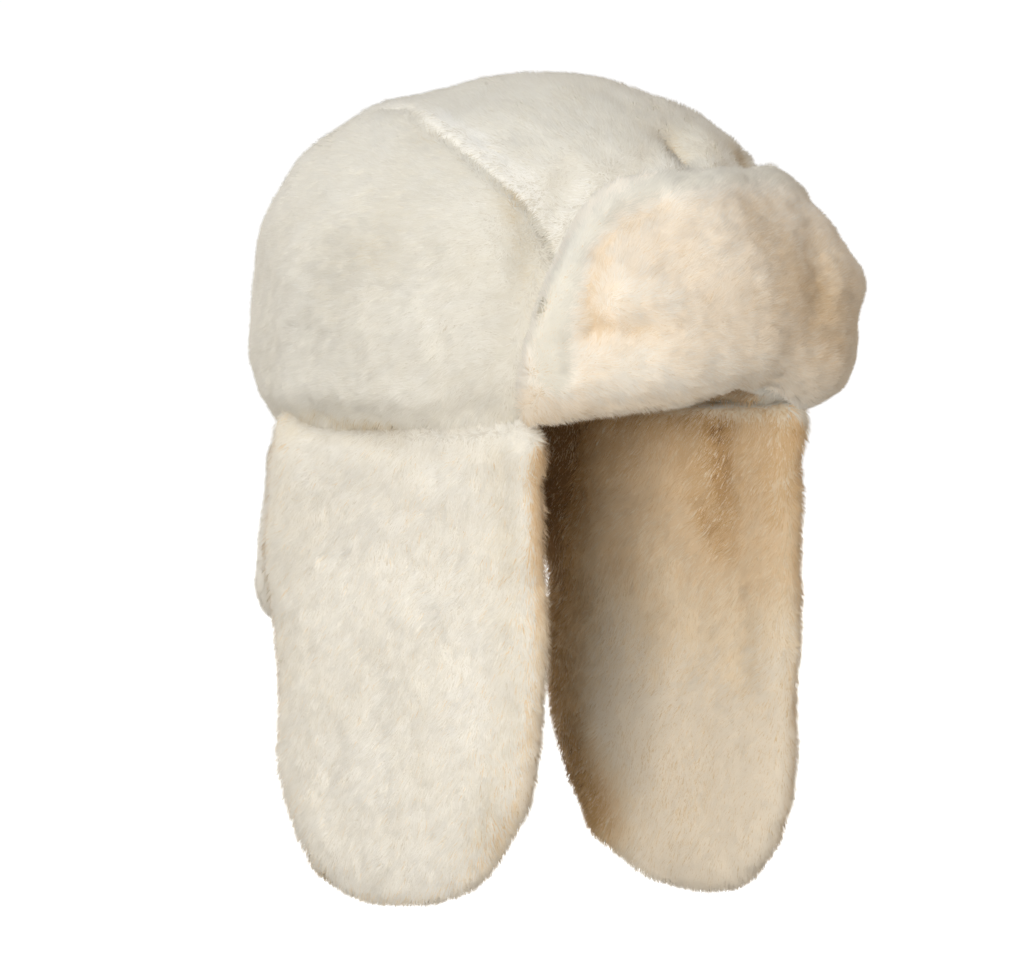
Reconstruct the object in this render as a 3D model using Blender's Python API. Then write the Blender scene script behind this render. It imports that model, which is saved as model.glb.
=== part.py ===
"""Aviator hat of short sheared plush, worn size, with its ear flaps hanging.

Metres, +Z up. The wearer faces -Y, so +X is the wearer's left. The origin is the middle of the
head opening, in the plane of the crease where the flaps are sewn to the crown.
Every wall is padded: plush outside, plush inside and the leather between them as one thickness.
"""

import math
from collections import namedtuple

import bmesh
import bpy
from mathutils import Vector

# Crown: half width and half length where it is widest, and the height of the head hollow
CROWN_HALF_WIDTH = 0.112
CROWN_HALF_LENGTH = 0.137
CROWN_RIM = 0.0
HOLLOW_HALF_WIDTH = 0.086
HOLLOW_HALF_LENGTH = 0.105
HOLLOW_SET_BACK = 0.004
HOLLOW_TOP = 0.122
HOLLOW_WIDEST = 0.0355

# The crease runs lower behind than in front; the tilt fades out above and below it
CREASE_TILT = 0.050
CREASE_TILT_FADE = 0.075

# A horizontal section of the crown or of a flap that follows it: an ellipse, set back or not
Section = namedtuple("Section", "half_width half_length back height")

# Crown sections from the rim to the top: share of the widest section, and how far it sits back
CrownRow = namedtuple("CrownRow", "height share back")
CROWN = (
    CrownRow(0.0000, 0.915, 0.000),
    CrownRow(0.0070, 0.958, 0.000),
    CrownRow(0.0180, 0.990, 0.000),
    CrownRow(0.0355, 1.000, 0.000),
    CrownRow(0.0610, 0.985, 0.000),
    CrownRow(0.0785, 0.956, 0.001),
    CrownRow(0.0957, 0.879, 0.003),
    CrownRow(0.1086, 0.790, 0.007),
    CrownRow(0.1215, 0.658, 0.008),
    CrownRow(0.1310, 0.535, 0.007),
    CrownRow(0.1387, 0.360, -0.001),
    CrownRow(0.1435, 0.225, -0.003),
    CrownRow(0.1480, 0.000, -0.002),
)

# Seam round a side panel: angle from straight ahead of its front and back branch, by height
SeamRow = namedtuple("SeamRow", "height front back")
SEAM = (
    SeamRow(0.0000, 40.0, 160.0),
    SeamRow(0.0400, 45.0, 160.0),
    SeamRow(0.0830, 52.5, 159.0),
    SeamRow(0.1055, 61.0, 155.0),
    SeamRow(0.1200, 75.0, 150.0),
    SeamRow(0.1290, 92.0, 143.0),
    SeamRow(0.1335, 110.0, 131.0),
)
SEAM_VALLEY = 0.0035
SEAM_ROUNDING = 0.010

# Brow flap, turned up against the front of the crown
BROW_HALF_WIDTH = 0.1195
BROW_HALF_LENGTH = 0.1460
BROW_HALF_ANGLE = 59.2
BROW_TOP = 0.1110
BROW_FOOT = 0.008
BROW_CORNER_POWERS = (5.0, 1.6)
BROW_ROUNDING = 0.012
BROW_LOWER_ROUNDING = 0.017
BROW_BACK_ROUNDING = 0.007
BROW_GAP = 0.0010
BROW_TOP_GAP = 0.0040
BROW_TOP_GAP_START = 0.084
BROW_FOLD_ANGLE = 4.0
BROW_FOLD_SPREAD = 9.0
BROW_FOLD_DEPTH = 0.005
BROW_SEAT_SIDES = (0.80, 1.12)
BROW_END_SHARE = 0.995

# Brow flap's outer face: share of its widest section by height, before its edges are rounded
BrowRow = namedtuple("BrowRow", "height share")
BROW = (
    BrowRow(-0.004, 0.900),
    BrowRow(0.007, 0.960),
    BrowRow(0.020, 0.990),
    BrowRow(0.040, 1.000),
    BrowRow(0.062, 0.980),
    BrowRow(0.079, 0.920),
    BrowRow(0.094, 0.845),
    BrowRow(0.104, 0.780),
    BrowRow(0.112, 0.730),
)

# Hollow that the brow flap presses into the crown behind it: depth by height
SeatRow = namedtuple("SeatRow", "height depth")
BROW_SEAT = (
    SeatRow(0.000, 0.0135),
    SeatRow(0.050, 0.0155),
    SeatRow(0.076, 0.0185),
    SeatRow(0.092, 0.0185),
    SeatRow(0.102, 0.0140),
    SeatRow(0.109, 0.0050),
    SeatRow(0.114, 0.0008),
    SeatRow(0.120, 0.0000),
)

# Brow flap's lower edge, where it folds up from the crown's front rim: height by angle
FoldRow = namedtuple("FoldRow", "angle height")
BROW_LOWER_EDGE = (
    FoldRow(-60.0, 0.0010),
    FoldRow(-36.0, 0.0050),
    FoldRow(-22.0, 0.0085),
    FoldRow(-6.0, 0.0140),
    FoldRow(8.0, 0.0050),
    FoldRow(32.0, -0.0010),
    FoldRow(60.0, 0.0015),
)
FRONT_RIM_ABOVE_FOLD = 0.004
FRONT_RIM_ENDS = (44.0, 56.0)
FRONT_RIM_FADE_HEIGHT = 0.075

# Ear flaps: flat pads that hang from the crease, set a little closer at the front than behind
EAR_HALF_WIDTH = 0.0715
EAR_HALF_THICKNESS = 0.0145
EAR_OUT = 0.0880
EAR_FORWARD = 0.0035
EAR_TOE_IN = math.radians(2.5)
EAR_BOW = 0.004
EAR_CORNER_POWER = 2.8

# Ear flap sections from the crease down: shares of the width and thickness, and how far each
# section sits forward and outward of the flap's own place
FlapRow = namedtuple("FlapRow", "height width thickness forward out")
EAR_RIGHT = (
    FlapRow(-0.0003, 0.930, 0.80, -0.0025, 0.002),
    FlapRow(-0.0080, 0.975, 0.97, -0.0025, 0.003),
    FlapRow(-0.0300, 1.030, 1.00, -0.0032, 0.003),
    FlapRow(-0.0500, 1.050, 1.00, -0.0034, 0.003),
    FlapRow(-0.0650, 1.065, 1.00, -0.0028, 0.003),
    FlapRow(-0.0820, 1.060, 1.00, -0.0015, 0.003),
    FlapRow(-0.1000, 1.035, 1.00, -0.0004, 0.003),
    FlapRow(-0.1310, 1.000, 1.00, -0.0018, 0.003),
    FlapRow(-0.1500, 0.965, 1.00, -0.003, 0.003),
    FlapRow(-0.1650, 0.900, 1.00, -0.005, 0.003),
    FlapRow(-0.1770, 0.810, 0.98, -0.006, 0.003),
    FlapRow(-0.1870, 0.700, 0.93, -0.006, 0.003),
    FlapRow(-0.1945, 0.580, 0.84, -0.006, 0.003),
    FlapRow(-0.2000, 0.440, 0.68, -0.005, 0.003),
    FlapRow(-0.2035, 0.240, 0.42, -0.004, 0.003),
)
EAR_LEFT = (
    FlapRow(-0.0003, 0.975, 0.80, 0.0000, 0.000),
    FlapRow(-0.0080, 1.015, 0.97, -0.0010, 0.001),
    FlapRow(-0.0300, 1.050, 1.00, -0.0027, 0.001),
    FlapRow(-0.0650, 1.060, 1.00, -0.0030, 0.001),
    FlapRow(-0.1000, 1.050, 1.00, -0.0027, 0.001),
    FlapRow(-0.1200, 1.035, 1.00, -0.0020, 0.001),
    FlapRow(-0.1360, 1.010, 1.00, -0.0008, 0.001),
    FlapRow(-0.1580, 0.945, 1.00, 0.002, 0.001),
    FlapRow(-0.1755, 0.875, 1.00, 0.003, 0.001),
    FlapRow(-0.1890, 0.770, 0.98, 0.004, 0.001),
    FlapRow(-0.1990, 0.650, 0.92, 0.005, 0.001),
    FlapRow(-0.2070, 0.490, 0.80, 0.006, 0.001),
    FlapRow(-0.2125, 0.310, 0.58, 0.006, 0.001),
    FlapRow(-0.2155, 0.150, 0.32, 0.006, 0.001),
)

# Neck flap, hanging from the back rim between the ear flaps
NECK_HALF_WIDTH = 0.106
NECK_HALF_LENGTH = 0.134
NECK_THICKNESS = 0.026
NECK_TOP = -0.0003
NECK_BOTTOM = -0.094
NECK_START_ANGLE = 126.5
NECK_END_SHARE = 0.62
NECK_CORNER_POWER = 6.0
NECK_ROUNDING = 0.011

# Neck flap's reach beyond its widest section, by share of its own height from the crease down
NeckRow = namedtuple("NeckRow", "share reach")
NECK = (
    NeckRow(0.00, -0.006),
    NeckRow(0.18, -0.001),
    NeckRow(0.50, 0.000),
    NeckRow(0.85, 0.003),
    NeckRow(1.00, 0.002),
)

# Gap between pieces that are sewn together, and mesh density
GAP = 0.0003
SEAM_INSET = 0.0006

# Rounded edges take at most these shares of a wall from its outer and its inner face
OUTER_DIP_MOST = 0.60
INNER_DIP_MOST = 0.25
SIDE_ROWS = 15
SIDE_COLUMNS = 14
CENTRE_COLUMNS = 14
BROW_ROWS = 12
BROW_COLUMNS = 20
EAR_POINTS = 26
NECK_ROWS = 8
NECK_COLUMNS = 17
ROW_CROWDING = 1.5
HALVINGS = 36

# Point inside the head hollow that the centre panel's rows are aimed from
STAR = Vector((0.0, 0.0, 0.0))


def smooth_step(low, high, value):
    """0 below low, 1 above high and a smooth ramp between them."""
    share = min(1.0, max(0.0, (value - low) / (high - low)))
    return share * share * (3.0 - 2.0 * share)


def read(table, column, key):
    """Reads a column of a table at a key between its rows, on a smooth curve through them."""
    keys = [row[0] for row in table]
    values = [getattr(row, column) for row in table]
    key = min(keys[-1], max(keys[0], key))
    spot = max(i for i in range(len(keys) - 1) if keys[i] <= key)
    slopes = []
    for i in (spot, spot + 1):
        before, after = max(0, i - 1), min(len(keys) - 1, i + 1)
        slopes.append((values[after] - values[before]) / (keys[after] - keys[before]))
    length = keys[spot + 1] - keys[spot]
    t = (key - keys[spot]) / length
    return (
        values[spot] * (2 * t**3 - 3 * t**2 + 1)
        + slopes[0] * length * (t**3 - 2 * t**2 + t)
        + values[spot + 1] * (3 * t**2 - 2 * t**3)
        + slopes[1] * length * (t**3 - t**2)
    )


def rounding(distance, radius):
    """How far a face dips below its own height at a distance from its rounded edge."""
    if distance >= radius:
        return 0.0
    return radius - math.sqrt(radius**2 - (radius - max(0.0, distance)) ** 2)


def fold_height(angle):
    """Height of the brow flap's lower edge at an angle."""
    return read(BROW_LOWER_EDGE, "height", angle)


def front_arch(angle, height):
    """How far the crown's front is lifted, so that its rim follows the brow flap's fold."""
    rise = fold_height(angle) + FRONT_RIM_ABOVE_FOLD - CROWN_RIM
    ends = 1.0 - smooth_step(*FRONT_RIM_ENDS, abs(angle))
    fade = 1.0 - smooth_step(CROWN_RIM, FRONT_RIM_FADE_HEIGHT, height)
    return rise * ends * fade


def brow_seat(angle, height):
    """Depth of the hollow that the brow flap presses into the crown."""
    sideways = 1.0 - smooth_step(*BROW_SEAT_SIDES, abs(angle) / BROW_HALF_ANGLE)
    return read(BROW_SEAT, "depth", height) * sideways


def outer_section(angle, height):
    """The crown's outer section at a height, pressed in where the brow flap lies."""
    share = read(CROWN, "share", height)
    seat = brow_seat(angle, height)
    return Section(
        CROWN_HALF_WIDTH * share - seat,
        CROWN_HALF_LENGTH * share - seat,
        read(CROWN, "back", height),
        height,
    )


def inner_section(angle, height):
    """The head hollow's section across the wall from an outer section."""
    share = read(CROWN, "share", max(height, HOLLOW_WIDEST))
    reach = (HOLLOW_TOP - CROWN_RIM) / (CROWN[-1].height - CROWN_RIM)
    return Section(
        HOLLOW_HALF_WIDTH * share,
        HOLLOW_HALF_LENGTH * share,
        HOLLOW_SET_BACK + read(CROWN, "back", height),
        CROWN_RIM + (height - CROWN_RIM) * reach,
    )


def on_section(angle, section):
    """A point of a section, at an angle in degrees from straight ahead."""
    turn = math.radians(angle)
    return Vector(
        (
            section.half_width * math.sin(turn),
            section.back - section.half_length * math.cos(turn),
            section.height,
        )
    )


def crown_point(angle, height, face):
    """A point of one face of the crown, before its front rim is arched."""
    return on_section(angle, face(angle, height))


def angle_on(point, section):
    """Angle from straight ahead of a point, on a section's own proportions."""
    across = point.x / section.half_width
    ahead = (section.back - point.y) / section.half_length
    return math.degrees(math.atan2(across, ahead))


def is_inside(point, face):
    """True where a point lies inside one face of the crown."""
    bottom, top = CROWN_RIM, CROWN[-1].height - 1e-6
    face_bottom, face_top = face(0.0, bottom).height, face(0.0, top).height
    share = (point.z - face_bottom) / (face_top - face_bottom)
    if share >= 1.0:
        return False
    height = bottom + max(0.0, share) * (top - bottom)
    section = face(0.0, height)
    for _ in range(4):
        section = face(angle_on(point, section), height)
    across = point.x / section.half_width
    ahead = (section.back - point.y) / section.half_length
    return across**2 + ahead**2 < 1.0


def along_ray(direction, face):
    """Where a ray from the star point meets one face of the crown, found by halving."""
    low, high = 0.0, 2.0 * CROWN_HALF_LENGTH
    for _ in range(HALVINGS):
        middle = (low + high) / 2.0
        if is_inside(STAR + direction * middle, face):
            low = middle
        else:
            high = middle
    return STAR + direction * low


def lifted(point):
    """A crown point after the front rim is arched over the face."""
    angle = angle_on(point, Section(CROWN_HALF_WIDTH, CROWN_HALF_LENGTH, 0.0, point.z))
    return point + Vector((0.0, 0.0, front_arch(angle, point.z)))


def row_length(points):
    """Distances along a row of points from its first point."""
    distances = [0.0]
    for before, after in zip(points, points[1:]):
        distances.append(distances[-1] + (after - before).length)
    return distances


def edge_distances(grid, open_rows=()):
    """Distance of each grid point from the nearest edge, leaving out the edges in open_rows."""
    across = [row_length(row) for row in grid]
    along = [row_length([row[j] for row in grid]) for j in range(len(grid[0]))]
    result = []
    for i, row in enumerate(grid):
        line = []
        for j in range(len(row)):
            options = [across[i][j], across[i][-1] - across[i][j]]
            if "first" not in open_rows:
                options.append(along[j][i])
            if "last" not in open_rows:
                options.append(along[j][-1] - along[j][i])
            line.append(min(options))
        result.append(line)
    return result


def dipped(outer, inner, depths, most=OUTER_DIP_MOST):
    """Moves each outer point towards the inner one by its depth, or most of the way at most."""
    return [
        [a + (b - a) * min(most, d / (b - a).length) for a, b, d in zip(*rows)]
        for rows in zip(outer, inner, depths)
    ]


def settled(point):
    """A point of any piece after the crease is tilted towards the nape."""
    fade = 1.0 - smooth_step(0.0, CREASE_TILT_FADE, abs(point.z))
    return point - Vector((0.0, 0.0, CREASE_TILT * point.y * fade))


def padded_shell(name, outer, inner):
    """One closed body between two grids of points with the same rows and columns."""
    mesh = bmesh.new()
    layers = [
        [[mesh.verts.new(settled(p)) for p in row] for row in grid] for grid in (outer, inner)
    ]
    rows, columns = len(outer), len(outer[0])
    for layer in layers:
        for i in range(rows - 1):
            for j in range(columns - 1):
                mesh.faces.new(
                    (layer[i][j], layer[i][j + 1], layer[i + 1][j + 1], layer[i + 1][j])
                )
    border = [(0, j) for j in range(columns)]
    border += [(i, columns - 1) for i in range(1, rows)]
    border += [(rows - 1, j) for j in range(columns - 2, -1, -1)]
    border += [(i, 0) for i in range(rows - 2, 0, -1)]
    for (i, j), (k, m) in zip(border, border[1:] + border[:1]):
        mesh.faces.new((layers[0][i][j], layers[0][k][m], layers[1][k][m], layers[1][i][j]))
    return finished(name, mesh)


def lofted(name, sections):
    """One closed body through rings of points, with a flat face over its first and last ring."""
    mesh = bmesh.new()
    rings = [[mesh.verts.new(settled(p)) for p in section] for section in sections]
    count = len(rings[0])
    for upper, lower in zip(rings, rings[1:]):
        for k in range(count):
            m = (k + 1) % count
            mesh.faces.new((upper[k], upper[m], lower[m], lower[k]))
    mesh.faces.new(rings[0])
    mesh.faces.new(rings[-1])
    return finished(name, mesh)


def finished(name, mesh):
    """Turns a bmesh into a smooth-shaded object with outward faces."""
    bmesh.ops.recalc_face_normals(mesh, faces=mesh.faces)
    data = bpy.data.meshes.new(name)
    mesh.to_mesh(data)
    mesh.free()
    data.shade_smooth()
    data.set_sharp_from_angle(angle=math.radians(50))
    piece = bpy.data.objects.new(name, data)
    bpy.context.scene.collection.objects.link(piece)
    return piece


def plush(name, colour):
    """Material of one piece's sheared plush."""
    material = bpy.data.materials.new(name)
    material.use_nodes = True
    shader = material.node_tree.nodes["Principled BSDF"]
    shader.inputs["Base Color"].default_value = (*colour, 1.0)
    shader.inputs["Roughness"].default_value = 0.95
    shader.inputs["Metallic"].default_value = 0.0
    return material


def seam_heights():
    """Heights of a side panel's rows, closer together towards its top."""
    low, high = SEAM[0].height, SEAM[-1].height
    shares = [1.0 - (1.0 - k / SIDE_ROWS) ** ROW_CROWDING for k in range(SIDE_ROWS + 1)]
    return [low + (high - low) * share for share in shares]


def eased(count):
    """Shares from 0 to 1 that lie closer together at both ends."""
    return [(1.0 - math.cos(math.pi * k / count)) / 2.0 for k in range(count + 1)]


def side_panel_places(inset):
    """Angle and height of each grid point of the left side panel, drawn in by an inset."""
    grid = []
    for height in seam_heights():
        turn = math.degrees(inset / (CROWN_HALF_WIDTH * read(CROWN, "share", height)))
        front = read(SEAM, "front", height) + turn
        back = read(SEAM, "back", height) - turn
        drop = inset if height == SEAM[-1].height else 0.0
        grid.append([(front + (back - front) * u, height - drop) for u in eased(SIDE_COLUMNS)])
    return grid


def make_side_panel(name, side):
    """Side panel of the crown, from the rim up to the seam; side is 1 for the left."""
    places = side_panel_places(SEAM_INSET)
    outer = [[crown_point(a * side, h, outer_section) for a, h in row] for row in places]
    inner = [[crown_point(a * side, h, inner_section) for a, h in row] for row in places]
    depths = [
        [SEAM_VALLEY * rounding(d, SEAM_ROUNDING) / SEAM_ROUNDING for d in row]
        for row in edge_distances(outer, open_rows=("first",))
    ]
    outer = [[lifted(p) for p in row] for row in dipped(outer, inner, depths)]
    inner = [[lifted(p) for p in row] for row in inner]
    return padded_shell(name, outer, inner)


def seam_loop():
    """Places along the seam from the front rim, over the side panel's top, to the back rim."""
    places = side_panel_places(0.0)
    front = [row[0] for row in places]
    top = places[-1][1:-1]
    back = [row[-1] for row in reversed(places)]
    return front + top + back


def centre_row(place, face):
    """Points of one face of the centre panel, from the right seam over to the left one."""
    angle, height = place
    right, left = crown_point(-angle, height, face), crown_point(angle, height, face)
    start, end = (right - STAR).normalized(), (left - STAR).normalized()
    spread = start.angle(end)
    row = []
    for u in eased(CENTRE_COLUMNS):
        mixed = start * math.sin((1.0 - u) * spread) + end * math.sin(u * spread)
        row.append(along_ray(mixed.normalized(), face))
    row[0], row[-1] = right, left
    return row


def make_centre_panel():
    """Centre panel of the crown, from the brow over the top to the nape."""
    places = seam_loop()
    outer = [centre_row(place, outer_section) for place in places]
    inner = [centre_row(place, inner_section) for place in places]
    depths = [
        [SEAM_VALLEY * rounding(d, SEAM_ROUNDING) / SEAM_ROUNDING for d in row]
        for row in edge_distances(outer, open_rows=("first", "last"))
    ]
    outer = [[lifted(p) for p in row] for row in dipped(outer, inner, depths)]
    inner = [[lifted(p) for p in row] for row in inner]
    return padded_shell("crown_centre", outer, inner)


def brow_top(angle):
    """Height of the brow flap's upper edge at an angle, with rounded corners at both ends."""
    power, root = BROW_CORNER_POWERS
    share = (1.0 - (abs(angle) / BROW_HALF_ANGLE) ** power) ** (1.0 / root)
    return BROW_FOOT + (BROW_TOP - BROW_FOOT) * share


def brow_outer(angle, height):
    """A point of the brow flap's outer face, with the fold down its middle."""
    share = read(BROW, "share", height)
    fold = BROW_FOLD_DEPTH * math.exp(-(((angle - BROW_FOLD_ANGLE) / BROW_FOLD_SPREAD) ** 2))
    half_width = BROW_HALF_WIDTH * share - fold
    half_length = BROW_HALF_LENGTH * share - fold
    return on_section(angle, Section(half_width, half_length, 0.0, height))


def height_before_lift(angle, height):
    """Height that a crown point had before the front rim was arched, found by halving."""
    low, high = CROWN_RIM, max(CROWN_RIM, height)
    for _ in range(HALVINGS):
        middle = (low + high) / 2.0
        if middle + front_arch(angle, middle) < height:
            low = middle
        else:
            high = middle
    return low


def brow_inner(angle, height):
    """A point of the brow flap's back, a small gap in front of the crown."""
    crown_height = height_before_lift(angle, height)
    point = crown_point(angle, crown_height, outer_section)
    outwards = Vector((point.x, point.y, 0.0)).normalized()
    gap = BROW_GAP + BROW_TOP_GAP * smooth_step(BROW_TOP_GAP_START, BROW_TOP, height)
    return Vector((point.x, point.y, height)) + outwards * gap


def make_brow_flap():
    """Brow flap: a padded band that follows the front of the crown."""
    limit = math.asin(BROW_END_SHARE)
    turns = [limit * (2.0 * k / BROW_COLUMNS - 1.0) for k in range(BROW_COLUMNS + 1)]
    angles = [BROW_HALF_ANGLE * math.sin(turn) for turn in turns]
    outer, inner = [], []
    for v in eased(BROW_ROWS):
        heights = [fold_height(a) + (brow_top(a) - fold_height(a)) * v for a in angles]
        outer.append([brow_outer(a, h) for a, h in zip(angles, heights)])
        inner.append([brow_inner(a, h) for a, h in zip(angles, heights)])
    depths = []
    for row, v in zip(edge_distances(outer), eased(BROW_ROWS)):
        radius = BROW_LOWER_ROUNDING + (BROW_ROUNDING - BROW_LOWER_ROUNDING) * v
        depths.append([rounding(d, radius) for d in row])
    rounded = dipped(outer, inner, depths)
    depths = [[rounding(d, BROW_BACK_ROUNDING) for d in row] for row in edge_distances(inner)]
    return padded_shell("brow_flap", rounded, dipped(inner, outer, depths, INNER_DIP_MOST))


def flap_section(row, side):
    """Ring of points of an ear flap at one height: a flattened round pad, bowed outwards."""
    points = []
    for k in range(EAR_POINTS):
        turn = 2.0 * math.pi * k / EAR_POINTS
        power = 2.0 / EAR_CORNER_POWER
        across = math.copysign(abs(math.cos(turn)) ** power, math.cos(turn))
        through = math.copysign(abs(math.sin(turn)) ** power, math.sin(turn))
        ahead = EAR_HALF_WIDTH * row.width * across
        out = EAR_HALF_THICKNESS * row.thickness * through
        out += EAR_OUT + row.out - ahead * math.sin(EAR_TOE_IN)
        out -= EAR_BOW * (ahead / EAR_HALF_WIDTH) ** 2
        forward = EAR_FORWARD + row.forward + ahead * math.cos(EAR_TOE_IN)
        points.append(Vector((side * out, -forward, row.height)))
    return points


def make_ear_flap(name, table, side):
    """Ear flap, lofted from its crease down to its rounded end; side is 1 for the left."""
    return lofted(name, [flap_section(row, side) for row in table])


def make_neck_flap():
    """Neck flap: a curved pad between the ear flaps, with rounded lower corners."""
    outer, inner = [], []
    shares = [2.0 * u - 1.0 for u in eased(NECK_COLUMNS)]
    angles = [180.0 + (180.0 - NECK_START_ANGLE) * u for u in shares]
    for v in eased(NECK_ROWS):
        outer_row, inner_row = [], []
        for angle, u in zip(angles, shares):
            corner = math.sqrt(1.0 - abs(u) ** NECK_CORNER_POWER)
            drop = (NECK_TOP - NECK_BOTTOM) * (NECK_END_SHARE + (1.0 - NECK_END_SHARE) * corner)
            height = NECK_TOP - drop * v
            reach = read(NECK, "reach", v)
            half_width = NECK_HALF_WIDTH + reach
            half_length = NECK_HALF_LENGTH + reach
            wide = Section(half_width, half_length, 0.0, height)
            half_width -= NECK_THICKNESS
            half_length -= NECK_THICKNESS
            narrow = Section(half_width, half_length, 0.0, height)
            outer_row.append(on_section(angle, wide))
            inner_row.append(on_section(angle, narrow))
        outer.append(outer_row)
        inner.append(inner_row)
    distances = edge_distances(outer)
    depths = [[rounding(d, NECK_ROUNDING) for d in row] for row in distances]
    rounded_outer = dipped(outer, inner, depths)
    rounded_inner = dipped(inner, outer, depths, INNER_DIP_MOST)
    return padded_shell("neck_flap", rounded_outer, rounded_inner)


def main():
    """Builds the seven pieces of the hat."""
    for piece in list(bpy.data.objects):
        bpy.data.objects.remove(piece, do_unlink=True)
    cream = (0.78, 0.72, 0.61)
    warm = (0.80, 0.69, 0.54)
    tan = (0.66, 0.53, 0.38)
    make_centre_panel().data.materials.append(plush("crown_plush", cream))
    for name, side in (("crown_side_right", -1.0), ("crown_side_left", 1.0)):
        make_side_panel(name, side).data.materials.append(plush(name + "_plush", cream))
    make_brow_flap().data.materials.append(plush("brow_plush", warm))
    for name, table, side in (
        ("ear_flap_right", EAR_RIGHT, -1.0),
        ("ear_flap_left", EAR_LEFT, 1.0),
    ):
        make_ear_flap(name, table, side).data.materials.append(plush(name + "_plush", tan))
    make_neck_flap().data.materials.append(plush("neck_plush", cream))


main()
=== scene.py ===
"""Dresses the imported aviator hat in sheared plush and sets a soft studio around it."""

import itertools
import logging
import math
from dataclasses import dataclass, field
from enum import Enum

import bpy
import numpy as np
from mathutils import Matrix, Vector
from mathutils.bvhtree import BVHTree


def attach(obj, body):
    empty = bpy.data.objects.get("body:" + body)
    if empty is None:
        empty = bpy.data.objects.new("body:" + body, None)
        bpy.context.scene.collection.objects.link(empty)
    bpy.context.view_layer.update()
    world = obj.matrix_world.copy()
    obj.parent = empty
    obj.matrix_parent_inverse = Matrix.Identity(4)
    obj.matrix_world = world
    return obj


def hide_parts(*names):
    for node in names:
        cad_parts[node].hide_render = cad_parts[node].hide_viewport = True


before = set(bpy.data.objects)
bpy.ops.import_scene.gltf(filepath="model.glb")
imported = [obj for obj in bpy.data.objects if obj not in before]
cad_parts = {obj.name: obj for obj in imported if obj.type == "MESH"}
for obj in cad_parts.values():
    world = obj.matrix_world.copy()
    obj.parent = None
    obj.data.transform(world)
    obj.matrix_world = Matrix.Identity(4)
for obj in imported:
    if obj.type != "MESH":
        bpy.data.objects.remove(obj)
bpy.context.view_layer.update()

LOG = logging.getLogger("aviator_hat")
MM = 0.001
TINY = 1e-12

# The sRGB standard's curve: a straight toe, then a power.
SRGB_TOE_END, SRGB_TOE_SLOPE = 0.04045, 12.92
SRGB_OFFSET, SRGB_SCALE, SRGB_POWER = 0.055, 1.055, 2.4

# Large factors and shifts that scramble the place of a noise cell, and the bits kept of it.
CELL_FACTORS = (73856093, 19349663, 83492791)
SEED_FACTOR = 2654435761
MIX_FACTOR = 1274126177
MIX_SHIFTS = (13, 16)
HASH_BITS = 0x7FFFFFFF
HASH_MIDDLE = 0x3FFFFFFF

# At one width from its path, a fold has e to the power of minus this left.
FOLD_FALL_OFF = 2.5

# Distances from the next piece over which something changes at a seam, in metres.
INSET_BAND = (1.5 * MM, 9 * MM)
CALM_BAND = (2 * MM, 14 * MM)
GROWTH_BAND = (0.6 * MM, 1.8 * MM)
SEAM_BAND = (2 * MM, 7 * MM)
# The last band is where the pile is painted warmer and darker at a seam, as shade in the crease.
SEAM_SHADE_BAND = (4 * MM, 16 * MM)

# Share of the pile's height by which the skin sinks at a seam, and what is added away from it.
SEAM_INSET, ADDED_INSET = 0.12, 0.88
# How far the loose filling and its smaller lumps swell the skin, in metres.
FILLING_SWELL, LUMP_SWELL = 1.6 * MM, 0.7 * MM

# Height of the middle from which a place of the crown is told to face out or in, in metres.
HOLLOW_MIDDLE = 0.02
# Downward heights over which the tan painted shade of a flap's inside begins, in metres, and the
# facings where it shows.
INSIDE_SHADE_START = (-0.002, 0.010)
INSIDE_SHADE_FACING = (0.05, 0.75)
INSIDE_SHADE_FROM = 0.5
# How far in a face of the head hollow looks, and the height above which it counts as one.
HOLLOW_FACING, HOLLOW_BOTTOM = 0.1, -0.004

# Extra downward lean of pile that faces backwards, and the facings over which it sets in.
BACK_LEAN, BACK_FACING = 0.9, (0.80, 0.97)
# How strongly small swirls, wide swirls and single tufts stray from the way of brushing.
SMALL_SWIRL, WIDE_SWIRL, STRAY = 0.50, 0.45, 0.22
# How strongly pile leans over a seam, and how much its length changes along one.
SEAM_LEAN, SEAM_RAGGEDNESS = 2.0, 0.5
# Smallest draw that a tuft's place in its triangle is worked out from.
SMALLEST_DRAW = 1e-9
# Ranges of a tuft's length, tip height and width, each as a share of the piece's own.
LENGTH_RANGE, RISE_RANGE, WIDTH_RANGE = (0.75, 1.2), (0.75, 1.35), (0.6, 1.15)
# How far tips rise above the pile's height, how much more at a seam, and how that clumps.
TIP_RISE, SEAM_RISE, CLUMP_RISE = 0.3 * MM, 1.0 * MM, 0.25
# Sines of the flattest and the steepest lean of a tuft.
STEEPNESS = (0.1, 0.9)
# How far tufts roll about their length, in radians, and how deep their feet stand, in millimetres.
ROLL, FOOT_DEPTH_MM = 0.20, 0.4
# How far a clump and a single tuft turn the light's normal.
CLUMP_TILT, TUFT_TILT = 0.17, 0.05

# A tuft's shade from 0 for deep and warm, the painted shade of folds and seams, to 1 for pale, the
# painted highlight of swells: the middle, then what may shift it.
MIDDLE_SHADE, CLOUD_SHADE, CLUMP_SHADE, TUFT_SHADE = 0.62, 0.10, 0.07, 0.06
# How much paler the inside's tan painted shade is at its foot, how much of that it loses, and
# between what heights: the shade is deepest up under the crown.
INSIDE_SHADE_FOOT_LIFT, INSIDE_SHADE_DEEPENING, INSIDE_SHADE_HEIGHTS = 0.35, 0.60, (-0.15, -0.01)


class Side(Enum):
    """The wearer's side that a piece is on, as the sign of X."""

    RIGHT = -1
    LEFT = 1


class Flow(Enum):
    """The way the pile was brushed, as a direction that is laid along the skin."""

    DOWN = (0.0, 0.10, -1.0)
    ACROSS_THE_BROW = (0.85, 0.0, 0.25)
    BACK_AND_DOWN = (0.0, 0.85, -0.45)


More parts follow.
